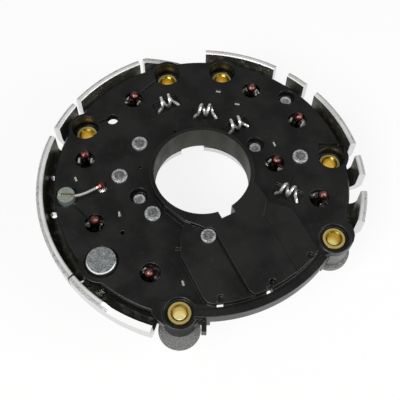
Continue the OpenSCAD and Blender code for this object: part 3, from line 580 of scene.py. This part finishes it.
rivet_finish = finish("rivet", lambda place: riveted(place, rivets_mm, HEAD_RIM_MM, HEAD_METALLIC))
sunk_finish = finish("sunk rivet", lambda place: riveted(place, sunk_rivets_mm, SUNK_RIM_MM, SUNK_METALLIC))

# %% [markdown]
# ## Output bolt and signal post
# Both are zinc plated steel. Zinc settles in fine crystals, so the flats look mottled: a Voronoi
# texture gives the crystals and noise the handling. The front of the bolt's bevel is painted bright
# as a painted highlight, and the gap round its head is painted black as a painted shadow. The post's
# plate has a pale green cast, so it has a recipe of its own.

# %% Plated steel
BOLT_TOP_MM = 5.7
ZINC_DARK, ZINC_LIGHT = colour(0.28, 0.32, 0.32), colour(0.82, 0.86, 0.86)
ZINC_HIGHLIGHT, GAP_SHADOW = colour(0.97, 0.98, 0.98), colour(0.03, 0.03, 0.03)
GREEN_DARK, GREEN_LIGHT = colour(0.20, 0.23, 0.18), colour(0.60, 0.68, 0.60)

bolt_mm = mount_axis("output_stud")


def zinc(place):
    cells = place.node("TexVoronoi", {"feature": "F1"}, {"Vector": place, "Scale": 1.1}, output="Color")
    marks = fade(noise(place, per_mm=2.2, detail=6.0), 0.3, 0.7)
    mottle = 0.4 * along(cells, "X") + 0.6 * marks
    radius = from_axes(place, [bolt_mm])
    front = fade(along(place, "Y"), bolt_mm.y - 3.0, bolt_mm.y + 0.5, 1.0, 0.0)
    # Painted highlight: the front of the bevel is painted bright and less metallic.
    painted_highlight = fade(radius, BOLT_TOP_MM - 0.3, BOLT_TOP_MM - 0.15) * front
    # Painted shadow: the gap round the head is painted black.
    shadowed_gap = fade(radius, BOLT_TOP_MM + 0.2, BOLT_TOP_MM + 0.3)
    plated = blend(painted_highlight, blend(mottle, ZINC_DARK, ZINC_LIGHT), ZINC_HIGHLIGHT)
    return {
        "Base Color": blend(shadowed_gap, plated, GAP_SHADOW),
        "Metallic": 1.0 - 0.6 * painted_highlight,
        "Roughness": 0.28 + 0.2 * mottle,
        "Normal": bumps(marks, strength=0.25, depth_mm=0.08),
    }


def green_zinc(place):
    marks = noise(place, per_mm=0.8, detail=5.0)
    return {
        "Base Color": blend(marks, GREEN_DARK, GREEN_LIGHT),
        "Metallic": 0.7,
        "Roughness": 0.30 + 0.2 * marks,
        "Normal": bumps(marks, strength=0.2, depth_mm=0.08),
    }


bolt_finish = finish("bolt", zinc)
post_finish = finish("post", green_zinc)

# %% [markdown]
# ## Insulators
# The washers and sleeves that keep the positive side off the end shield are brown phenolic, a
# filled resin. Its filler shows as a cloudy grain, which one noise gives to both colour and
# roughness.

# %% Phenolic
DARK_RESIN, PALE_RESIN = colour(0.045, 0.022, 0.014), colour(0.10, 0.055, 0.035)


def phenolic(place):
    cloud = noise(place, per_mm=0.8, detail=5.0)
    return {
        "Base Color": blend(cloud, DARK_RESIN, PALE_RESIN),
        "Roughness": 0.42 + 0.2 * cloud,
    }


insulator_finish = finish("insulator", phenolic)

# %% [markdown]
# ## Dress the pieces
# Each piece takes the finish of its slot in the record, so a new piece in a known slot is dressed
# without a new line here. Only the sunk rivets, smaller and duller than the others, have a finish
# of their own.

# %% Assign
finishes = {
    "moulding": moulding_finish,
    "sink": sheet_finish,
    "diode": diode_finish,
    "strip": strip_finish,
    "clip": clip_finish,
    "bush": bush_finish,
    "rivet": rivet_finish,
    "bolt": bolt_finish,
    "post": post_finish,
    "insulator": insulator_finish,
}
for name, piece in pieces.items():
    piece.data.materials.clear()
    piece.data.materials.append(sunk_finish if name == "sunk_rivets" else finishes[slots[name]])
print("dressed", len(pieces), "pieces from", len(finishes), "slots")

# %% [markdown]
# ## A thread as a surface
# The bolt's stud and the post's lower end have rolled threads: a die presses a groove that climbs
# round the rod, and the metal rises beside it. A bump in the finish would leave the outline smooth,
# and a Screw modifier would leave ragged ends. So rows of points climb round the axis, four to a
# tooth: two on the flat crest and two on the flat root, each given as a share of the pitch and a
# share of the depth. The tip is bevelled, and the groove runs out at the top.

# %% Thread surface
TOOTH = [(0.0, 1.0), (0.125, 1.0), (0.4375, 0.0), (0.6875, 0.0)]
DEPTH_PER_PITCH = 0.61
STEPS = 48
SPARE_TURNS = 2
CREASE = math.radians(15)


def thread_rows(solid, axis, pitch, crest, tip, shoulder, top):
    root = crest - DEPTH_PER_PITCH * pitch
    turns = math.ceil((top - tip) / pitch) + 2 * SPARE_TURNS
    rows = []
    for rise, ridge in [(turn + part, ridge) for turn in range(turns) for part, ridge in TOOTH]:
        row = []
        for step in range(STEPS):
            height = tip + pitch * (rise + step / STEPS - SPARE_TURNS)
            run_out = crest - max(top - height, 0.0)
            bevel = crest - max(shoulder - height, 0.0)
            reach = min(max(root + ridge * (crest - root), run_out), bevel)
            angle = math.tau * step / STEPS
            spot = Vector((axis.x + reach * math.cos(angle), axis.y + reach * math.sin(angle), height))
            row.append(solid.verts.new(spot / MM_PER_M))
        rows.append(row)
    return rows


def thread_faces(solid, rows):
    def at(row, step):
        return rows[row + len(TOOTH) * (step // STEPS)][step % STEPS]

    for row in range(len(rows) - len(TOOTH) - 1):
        for step in range(STEPS):
            corners = at(row, step), at(row, step + 1), at(row + 1, step + 1), at(row + 1, step)
            solid.faces.new(corners).smooth = True
    for edge in solid.edges:
        edge.smooth = edge.calc_face_angle(0.0) < CREASE


print("thread depth for each mm of pitch", DEPTH_PER_PITCH)

# %% [markdown]
# ## Threaded fasteners
# The new bolt and post keep the head and the plain shank of the packed piece. A flat cut takes off
# what lies below the thread's top, two more trim the thread, and a narrow ring of faces joins them.
# Slivers that the cuts leave are dissolved. A Boolean union could join the two as well, but walls
# that coincide are its weak spot. Stud, bevel and thread length come from the mounts, and the
# finished piece replaces the packed one.

# %% Cut and join
PITCH_MM = {"output_stud": 1.25, "signal_stud": 0.8}
JOINT_MM = 0.1
WELD_M = 1e-6


def open_edges(solid):
    return [edge for edge in solid.edges if edge.is_boundary]


def cut(solid, height, **away):
    everything = solid.verts[:] + solid.edges[:] + solid.faces[:]
    level = (0, 0, height / MM_PER_M)
    bmesh.ops.bisect_plane(solid, geom=everything, plane_co=level, plane_no=(0, 0, 1), **away)


def thread_solid(mount, tip, top):
    size = mounts[mount]["dims"]
    shoulder = top - size["length_mm"]
    solid = bmesh.new()
    rows = thread_rows(solid, mount_axis(mount), PITCH_MM[mount], size["r_mm"], tip, shoulder, top)
    thread_faces(solid, rows)
    cut(solid, top, clear_outer=True)
    cut(solid, tip, clear_inner=True)
    end = [edge for edge in open_edges(solid) if MM_PER_M * edge.verts[0].co.z < shoulder]
    bmesh.ops.holes_fill(solid, edges=end, sides=0)
    return solid


def head_mesh(node, height):
    head = bmesh.new()
    head.from_mesh(pieces[node].data)
    for edge in head.edges:
        edge.smooth = not edge.is_boundary
    bmesh.ops.remove_doubles(head, verts=head.verts, dist=WELD_M)
    cut(head, height, clear_inner=True)
    mesh = bpy.data.meshes.new(node + "_threaded")
    head.to_mesh(mesh)
    return mesh


print("pitch in mm", PITCH_MM)

# %% Bolt and post
for node, mount in [("output_bolt", "output_stud"), ("signal_post", "signal_stud")]:
    top = MM_PER_M * mounts[mount]["pos_m"][2] + mounts[mount]["dims"]["length_mm"] / 2
    mesh = head_mesh(node, top + JOINT_MM)
    solid = thread_solid(mount, MM_PER_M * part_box(node)[0].z, top)
    solid.from_mesh(mesh)
    bmesh.ops.bridge_loops(solid, edges=open_edges(solid))
    bmesh.ops.dissolve_degenerate(solid, dist=WELD_M, edges=solid.edges)
    print(node, "has", len(solid.faces), "faces and", len(open_edges(solid)), "open edges")
    solid.to_mesh(mesh)
    mesh.materials.clear()
    mesh.materials.append(finishes[slots[node]])
    piece = bpy.data.objects.new(node + "_threaded", mesh)
    bpy.context.scene.collection.objects.link(piece)
    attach(piece, "root")
    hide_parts(node)

# %% [markdown]
# ## Floor and sky
# The photo is a cut-out on white. More light would whiten the floor, but also bleach the part. So
# the floor is a plain pale board, and the camera and the metal that mirrors it see it most of the
# way to white: it keeps a faint shadow. The sky is dim, and white to the camera alone.

# %% Seen as white
def seen_white(tree, lit_shader, rays, share):
    start = Flow(tree, lit_shader)
    seen = start.node("LightPath", output=rays[0])
    for ray in rays[1:]:
        seen = start.math("MAXIMUM", seen, start.node("LightPath", output=ray))
    glow = start.node("Emission", {}, {"Color": colour(1, 1, 1), "Strength": 1.0})
    return start.node("MixShader", {}, {0: seen * share, 1: start, 2: glow})


print("helper", seen_white.__name__)

# %% Floor
FLOOR_HALF_M = 3.0
FLOOR_PAINT, FLOOR_ROUGHNESS = colour(0.9, 0.9, 0.88), 0.9
WHITE_SHARE = 0.85
SQUARE = [(-1, -1), (1, -1), (1, 1), (-1, 1)]

floor_mesh = bpy.data.meshes.new("floor")
floor_mesh.from_pydata([(FLOOR_HALF_M * x, FLOOR_HALF_M * y, low.z) for x, y in SQUARE], [], [(0, 1, 2, 3)])
floor = bpy.data.objects.new("floor", floor_mesh)
bpy.context.scene.collection.objects.link(floor)
paint = bpy.data.materials.new("floor")
paint.use_nodes = True
board = paint.node_tree.nodes["Principled BSDF"]
board.inputs["Base Color"].default_value = FLOOR_PAINT
board.inputs["Roughness"].default_value = FLOOR_ROUGHNESS
shown = seen_white(paint.node_tree, board.outputs[0], ["Is Camera Ray", "Is Glossy Ray"], WHITE_SHARE)
paint.node_tree.links.new(shown.socket, paint.node_tree.nodes["Material Output"].inputs[0])
floor_mesh.materials.append(paint)
print("floor at", round(MM_PER_M * low.z, 1), "mm")

# %% Sky
SKY_LEVEL = 0.22

world = bpy.data.worlds.new("sky")
world.use_nodes = True
bpy.context.scene.world = world
sky = world.node_tree.nodes["Background"]
sky.inputs["Color"].default_value = colour(1, 1, 1)
sky.inputs["Strength"].default_value = SKY_LEVEL
shown = seen_white(world.node_tree, sky.outputs[0], ["Is Camera Ray"], 1.0)
world.node_tree.links.new(shown.socket, world.node_tree.nodes["World Output"].inputs[0])
print("sky level", SKY_LEVEL)

# %% [markdown]
# ## Lamps
# A studio lights such a part with wide soft boxes, so that the metal shows broad highlights and the
# black plate keeps its form. A sun lamp would draw hard shadows. Two square area lamps, a key from
# the left and a weaker fill from the right, reach a plain level at which a colour renders about as
# it is written.

# %% Lamps
LAMP_SIZE_M = 0.5
LAMPS = {
    "key": {"place_m": (-0.35, -0.55, 0.75), "watts": 7.8},
    "fill": {"place_m": (0.65, -0.2, 0.5), "watts": 3.5},
}

for name, lamp in LAMPS.items():
    light = bpy.data.lights.new(name, "AREA")
    light.shape = "SQUARE"
    light.size = LAMP_SIZE_M
    light.energy = lamp["watts"]
    holder = bpy.data.objects.new(name, light)
    bpy.context.scene.collection.objects.link(holder)
    holder.location = lamp["place_m"]
    holder.rotation_euler = (-holder.location).to_track_quat("-Z", "Y").to_euler()
    print("lamp", name, lamp["watts"], "W")

# %% [markdown]
# ## Camera
# The camera was fitted to the round bore and the rim in the photo. It stands in front of the
# connector block, about 62 degrees above it, with a slight roll, and 280 mm from the point that it
# aims at. A Track To constraint could aim it, but not roll it, so its three axes are written out.

# %% Camera
ELEVATION, ROLL = math.radians(61.75), math.radians(1.33)
AIM_MM = Vector((-0.63, -13.74, 6.0))
DISTANCE_MM = 280.0
PICTURE_PX, FOCAL_PX = 400, 692.2
SENSOR_MM = 36.0
CLIP_START_M = 0.01

back = Vector((0, -math.cos(ELEVATION), math.sin(ELEVATION)))
right = Vector((1, 0, 0))
up = back.cross(right)
rolled_right = math.cos(ROLL) * right + math.sin(ROLL) * up
rolled_up = math.cos(ROLL) * up - math.sin(ROLL) * right
camera_data = bpy.data.cameras.new("camera")
camera_data.sensor_width = SENSOR_MM
camera_data.lens = SENSOR_MM * FOCAL_PX / PICTURE_PX
camera_data.clip_start = CLIP_START_M
camera = bpy.data.objects.new("camera", camera_data)
bpy.context.scene.collection.objects.link(camera)
turn = Matrix((rolled_right, rolled_up, back)).transposed().to_4x4()
camera.matrix_world = Matrix.Translation((AIM_MM + DISTANCE_MM * back) / MM_PER_M) @ turn
bpy.context.scene.camera = camera
bpy.context.scene.view_settings.view_transform = "Standard"
print("camera at mm", [round(MM_PER_M * v, 1) for v in camera.location])

# %% [markdown]
